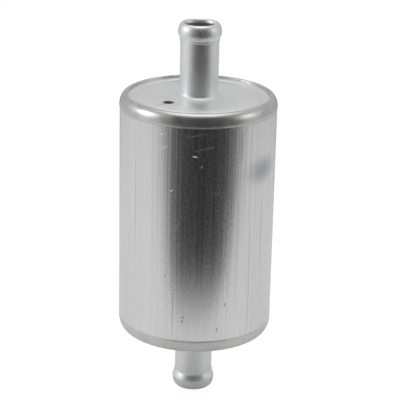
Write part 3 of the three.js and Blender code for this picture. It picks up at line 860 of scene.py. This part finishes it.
def pleated_media():
    """Thirty-two rounded pleats in one closed ring of paper, each a little uneven."""
    low, high = levels_of("pleated_media")
    pleats, half_paper, tip_r, fold_r = 32, 0.25, 19.05, 10.05
    tip_half, fold_half, fillet = 0.34, 0.42, 0.34
    leg_middle_r, leg_half, sway_width = 14.5, 4.5, 0.09
    corners = []
    for pleat in range(pleats):
        tip = 2 * math.pi * pleat / pleats
        fold = tip + math.pi / pleats
        for r, a in (
            (tip_r, tip - tip_half / tip_r), (tip_r, tip + tip_half / tip_r),
            (fold_r, fold - fold_half / fold_r), (fold_r, fold + fold_half / fold_r),
        ):
            corners.append((r * math.cos(a), r * math.sin(a), fillet))
    line = [Vector(point) for point in rounded(corners, 5)]
    skins = [[], []]
    for i, point in enumerate(line):
        along = (line[(i + 1) % len(line)] - line[i - 1]).normalized()
        outward = Vector((along.y, -along.x)) * half_paper
        skins[0].append(tuple(point + outward))
        skins[1].append(tuple(point - outward))

    def uneven(x, y, z):
        a = math.atan2(y, x)
        r = math.hypot(x, y)
        leg = max(0.0, 1 - abs(r - leg_middle_r) / leg_half)
        sway = sway_width * leg * math.sin(0.21 * z + 9 * a) * math.sin(0.07 * z + 5 * a + 2)
        return x - y / r * sway, y + x / r * sway

    levels = [low + (high - low) * i / 22 for i in range(23)]
    piece = finish_mesh("folded_paper", extruded(skins, levels, uneven), [paper])
    settle(piece, "filter_element", "pleated_media")


def seam_clip():
    """A folded strip crimped over the paper's seam, with a pinch every few millimetres."""
    low, high = levels_of("seam_clip")
    upper = [(19.42, 0.68, 0.2), (15.5, 0.9, 0.1), (15.5, 1.25, 0.1), (19.77, 1.03, 0.5)]
    lower = [(x, -y, fillet) for x, y, fillet in reversed(upper)]
    pinch_depth, pinch_pitch = 0.07, 6.2

    def pinched(x, y, z):
        pinch = pinch_depth * max(0.0, math.sin(2 * math.pi * (z - low) / pinch_pitch)) ** 4
        leg = min(max((19.0 - x) / 1.0, 0.0), 1.0)
        return x, y - math.copysign(pinch * leg, y)

    levels = [low + (high - low) * i / 128 for i in range(129)]
    piece = finish_mesh("crimped_clip", extruded([rounded(upper + lower, 4)], levels, pinched), [tin])
    settle(piece, "filter_element", "seam_clip")


def pleat_band(name, node):
    """A tape that rests on the pleats' tips and sags a little between them."""
    low, high = levels_of(node)
    middle_r, thickness, stop, steps, sag_depth, pleats = 19.6, 0.36, 5.0, 320, 0.08, 32
    points = []
    for i in range(steps + 1):
        a = math.radians(stop + (360 - 2 * stop) * i / steps)
        sag = sag_depth * (0.5 - 0.5 * math.cos(pleats * a)) ** 2
        r = middle_r - sag
        points.append(Vector((r * math.cos(a), r * math.sin(a), (low + high) / 2)))
    section = box_section(thickness, high - low, 0.14)
    bm = swept(points, section, lambda point: Vector((point.x, point.y, 0)))
    settle(finish_mesh(name, bm, [tape]), "filter_element", node)


def core_screen():
    """Plain-woven wire cloth rolled round the core."""
    low, high = levels_of("core_screen")
    uprights, rounds, mesh_r, weave, wire_r = 32, 30, 9.225, 0.06, 0.058
    pitch = (high - low) / rounds
    section = round_section(wire_r, 6)
    bm = bmesh.new()
    for j in range(uprights):
        a = 2 * math.pi * j / uprights
        points = []
        for i in range(rounds * 4 + 1):
            z = low + pitch * i / 4
            r = mesh_r - weave * math.cos(math.pi * ((z - low) / pitch - 0.5 + j))
            points.append(Vector((r * math.cos(a), r * math.sin(a), z)))
        swept(points, section, lambda point: Vector((-point.y, point.x, 0)), bm=bm)
    for k in range(rounds):
        points = []
        for i in range(uprights * 4):
            a = 2 * math.pi * i / (uprights * 4)
            r = mesh_r + weave * math.cos(uprights / 2 * a + math.pi * k)
            points.append(Vector((r * math.cos(a), r * math.sin(a), low + pitch * (k + 0.5))))
        swept(points, section, lambda point: Vector((0, 0, 1)), closed=True, bm=bm)
    piece = finish_mesh("woven_screen", bm, [screen_wire], math.radians(70))
    settle(piece, "filter_element", "core_screen")


def perforated_core():
    """A rolled tube with seven staggered rows of six round holes."""
    low, high = levels_of("perforated_core")
    paper_low, paper_high = levels_of("pleated_media")
    inner_r, outer_r, rows, per_row, hole_r, hole_spare = 8.4, 9.0, 7, 6, 2.2, 0.8
    corners = [(inner_r, low, 0.1), (outer_r, low, 0.1), (outer_r, high, 0.1), (inner_r, high, 0.1)]
    core = finish_mesh("punched_core", turned(rounded(corners, 2), SMALL_SEGMENTS), [tin])
    bm = bmesh.new()
    for row in range(rows):
        z = paper_low + (paper_high - paper_low) * (row + 0.5) / rows
        for hole in range(per_row):
            a = 2 * math.pi * (hole + row % 2 / 2) / per_row
            out = Vector((math.cos(a), math.sin(a), 0))
            ends = [out * r + Vector((0, 0, z)) for r in (inner_r - hole_spare, outer_r + hole_spare)]
            swept(ends, round_section(hole_r, 32), lambda _: Vector((0, 0, 1)), bm=bm)
    cut(core, finish_mesh("hole_cutter", bm, [tin]))
    settle(core, "filter_element", "perforated_core")


def outlet_gasket():
    """A flat rubber washer with a shallow sealing groove in each face."""
    low, high = levels_of("outlet_gasket")
    inner_r, outer_r, middle_r, half_groove, depth = 7.5, 10.2, 8.85, 0.35, 0.15
    groove_inner, groove_outer = middle_r - half_groove, middle_r + half_groove
    profile = rounded([
        (inner_r, low, 0.3), (groove_inner, low, 0.1), (middle_r, low + depth, 0.1),
        (groove_outer, low, 0.1), (outer_r, low, 0.3), (outer_r, high, 0.3),
        (groove_outer, high, 0.1), (middle_r, high - depth, 0.1), (groove_inner, high, 0.1),
        (inner_r, high, 0.3),
    ], 3)
    gasket = finish_mesh("grooved_gasket", turned(profile, SMALL_SEGMENTS), [nitrile])
    settle(gasket, "filter_element", "outlet_gasket")


o_ring("inlet_seal", "inlet_o_ring")
o_ring("outlet_seal", "outlet_o_ring")
spring_washer()
element_spring()
guide_star()
closed_end_disc()
potting("upper_resin", "upper_potting", -1)
pleated_media()
seam_clip()
pleat_band("lower_tape", "lower_pleat_band")
pleat_band("middle_tape", "middle_pleat_band")
pleat_band("upper_tape", "upper_pleat_band")
core_screen()
perforated_core()
potting("lower_resin", "lower_potting", 1)
open_end_disc()
outlet_gasket()


# ---- studio ----


def stage_floor():
    """A pale floor, with painted shadow close in front of the filter and painted shade far off.

    The camera sees it lifted towards white from above, and sees through it from below.
    """
    s = Shader("floor")
    seen_as_glow = 0.8
    from_axis = s.length(s.place)
    depth = s.split(s.place)[1]
    in_front = s.remap(s.math("DIVIDE", s.math("MULTIPLY", depth, -1.0), from_axis), 0.55, 0.95)
    # Painted shadow on the floor close in front of the filter.
    shade = s.math("MULTIPLY", in_front, s.remap(from_axis, 0.02, 0.12, 1.0, 0.0))
    tone = s.mix(shade, grey(0.9), grey(0.72))
    # Painted shade on the floor far off.
    tone = s.mix(s.remap(from_axis, 0.15, 0.5), tone, grey(0.74))
    s.set(Base_Color=tone, Roughness=0.9)
    surface = s.bsdf.outputs[0]
    paths = s.node("ShaderNodeLightPath")
    glow = s.node("ShaderNodeEmission", Color=grey(1.0), Strength=1.15).outputs[0]
    to_camera = s.math("MULTIPLY", paths.outputs["Is Camera Ray"], seen_as_glow)
    lifted = s.node("ShaderNodeMixShader", Fac=to_camera)
    s.tree.links.new(surface, lifted.inputs[1])
    s.tree.links.new(glow, lifted.inputs[2])
    clear = s.node("ShaderNodeBsdfTransparent").outputs[0]
    backside = s.node("ShaderNodeNewGeometry").outputs["Backfacing"]
    chosen = s.node("ShaderNodeMixShader", Fac=backside)
    s.tree.links.new(lifted.outputs[0], chosen.inputs[1])
    s.tree.links.new(clear, chosen.inputs[2])
    s.tree.links.new(chosen.outputs[0], s.tree.nodes["Material Output"].inputs["Surface"])
    bm = bmesh.new()
    bmesh.ops.create_grid(bm, x_segments=1, y_segments=1, size=4.0)
    for vert in bm.verts:
        vert.co.z = -0.0001
    floor = finish_mesh("floor", bm, [s.material])


def hide_from_all_but_reflections(piece):
    piece.visible_camera = False
    piece.visible_diffuse = False
    piece.visible_shadow = False
    piece.visible_transmission = False


def card(name, columns, greys, fade, left=None, right=None):
    """A matt card through columns of points, with a near, a far and a wall grey.

    It turns to its far grey over the fade radii, and back to the near one over its side angles.
    """
    bm = bmesh.new()
    grid = [[bm.verts.new(point) for point in column] for column in columns]
    for one, other in zip(grid, grid[1:]):
        for k in range(len(one) - 1):
            bm.faces.new((one[k], other[k], other[k + 1], one[k + 1]))
    s = Shader(name)
    from_axis = s.length(s.place)
    near, far, wall = (grey(level) for level in greys)
    tone = s.mix(s.remap(from_axis, *fade), near, far)
    tone = s.mix(s.remap(from_axis, 0.6, 1.4), tone, wall)
    if left and right:
        x, y, _ = s.split(s.place)
        turn = s.math("ARCTAN2", x, s.math("MULTIPLY", y, -1.0))
        inside = s.math("MULTIPLY", s.remap(turn, *left), s.remap(turn, *right, 1.0, 0.0))
        tone = s.mix(inside, near, tone)
    s.set(Base_Color=tone, Roughness=1.0)
    hide_from_all_but_reflections(finish_mesh(name, bm, [s.material]))


CARD_HEIGHT = 0.001  # of a flag's flat part above the floor


def column_at(turn, outline):
    """A column of points at an angle from the front, from (distance, height) pairs."""
    a = math.radians(turn - 90)
    return [(r * math.cos(a), r * math.sin(a), z) for r, z in outline]


def front_flag():
    """The unlit room behind the camera, seen only in reflections."""
    left, right, far = -62, 81, 1.5
    near_middle, left_sweep, right_sweep = 0.09, 0.58, 0.44
    columns = []
    for i in range(33):
        turn = left + (right - left) * i / 32
        sweep = left_sweep * (turn / left) ** 4 if turn < 0 else right_sweep * (turn / right) ** 3
        near = near_middle + sweep
        outline = [(r, CARD_HEIGHT) for r in (near, near + 0.05, near + 0.1, far)]
        columns.append(column_at(turn, outline + arc((0, 0), (far, far), 4, 52, 8)))
    card(
        "front_flag", columns, (0.75, 0.013, 0.05), (0.08, 0.158),
        left=(math.radians(left), math.radians(-31)), right=(math.radians(46), math.radians(right)),
    )


def back_flag():
    """A darker strip of floor behind, seen only in reflections, which paints a soft dark reflected band on
    the back of the wall.
    """
    outline = [(r, CARD_HEIGHT) for r in (0.11, 0.16, 0.22, 0.8)]
    columns = [column_at(turn, outline) for turn in range(157, 204, 2)]
    card("back_flag", columns, (0.75, 0.06, 0.06), (0.10, 0.22))


MID_HEIGHT = 0.06  # that the lights and the camera turn round


def softbox(name, azimuth, elevation, distance, width, height, power):
    """A flat area light aimed at the filter. Azimuth is round from the front, in degrees."""
    light = bpy.data.lights.new(name, "AREA")
    light.shape = "RECTANGLE"
    light.size = width
    light.size_y = height
    light.energy = power
    a, e = math.radians(azimuth), math.radians(elevation)
    towards = Vector((math.sin(a) * math.cos(e), -math.cos(a) * math.cos(e), math.sin(e)))
    lamp = bpy.data.objects.new(name, light)
    lamp.location = Vector((0, 0, MID_HEIGHT)) + towards * distance
    lamp.rotation_mode = "QUATERNION"
    lamp.rotation_quaternion = towards.to_track_quat("Z", "Y")
    bpy.context.scene.collection.objects.link(lamp)


def studio_world():
    """A dim even room, seen by the camera as plain white."""
    world = bpy.data.worlds.new("studio")
    world.use_nodes = True
    tree = world.node_tree
    background = tree.nodes["Background"]
    background.inputs["Color"].default_value = grey(1.0)
    background.inputs["Strength"].default_value = 0.5
    white = tree.nodes.new("ShaderNodeBackground")
    white.inputs["Color"].default_value = grey(1.0)
    white.inputs["Strength"].default_value = 1.0
    mix = tree.nodes.new("ShaderNodeMixShader")
    path = tree.nodes.new("ShaderNodeLightPath")
    tree.links.new(path.outputs["Is Camera Ray"], mix.inputs[0])
    tree.links.new(background.outputs[0], mix.inputs[1])
    tree.links.new(white.outputs[0], mix.inputs[2])
    tree.links.new(mix.outputs[0], tree.nodes["World Output"].inputs["Surface"])
    bpy.context.scene.world = world


def studio_camera():
    """Looks down 20 degrees from the front, a little off the filter's axis and rolled."""
    elevation, distance, roll_degrees, lens = math.radians(20.01), 0.5062, 1.245, 140.03
    target = Vector((0, 0, MID_HEIGHT))
    aim = Vector((0.00112, 0, 0.06526))
    data = bpy.data.cameras.new("camera")
    data.sensor_width = 36.0
    data.lens = lens
    camera = bpy.data.objects.new("camera", data)
    camera.location = target + Vector((0, -math.cos(elevation), math.sin(elevation))) * distance
    camera.rotation_mode = "QUATERNION"
    direction = aim - camera.location
    roll = Quaternion((0, 0, 1), math.radians(roll_degrees))
    camera.rotation_quaternion = direction.to_track_quat("-Z", "Y") @ roll
    bpy.context.scene.collection.objects.link(camera)
    bpy.context.scene.camera = camera


stage_floor()
front_flag()
back_flag()
softbox("left_softbox", -83, 22, distance=0.9, width=0.35, height=0.34, power=1.35)
softbox("right_softbox", 77, 22, distance=0.9, width=0.30, height=0.34, power=0.54)
softbox("top_softbox", 180, 86, distance=1.0, width=0.8, height=0.95, power=2.45)
studio_world()
studio_camera()
scene = bpy.context.scene
scene.view_settings.view_transform = "Standard"
scene.view_settings.look = "None"
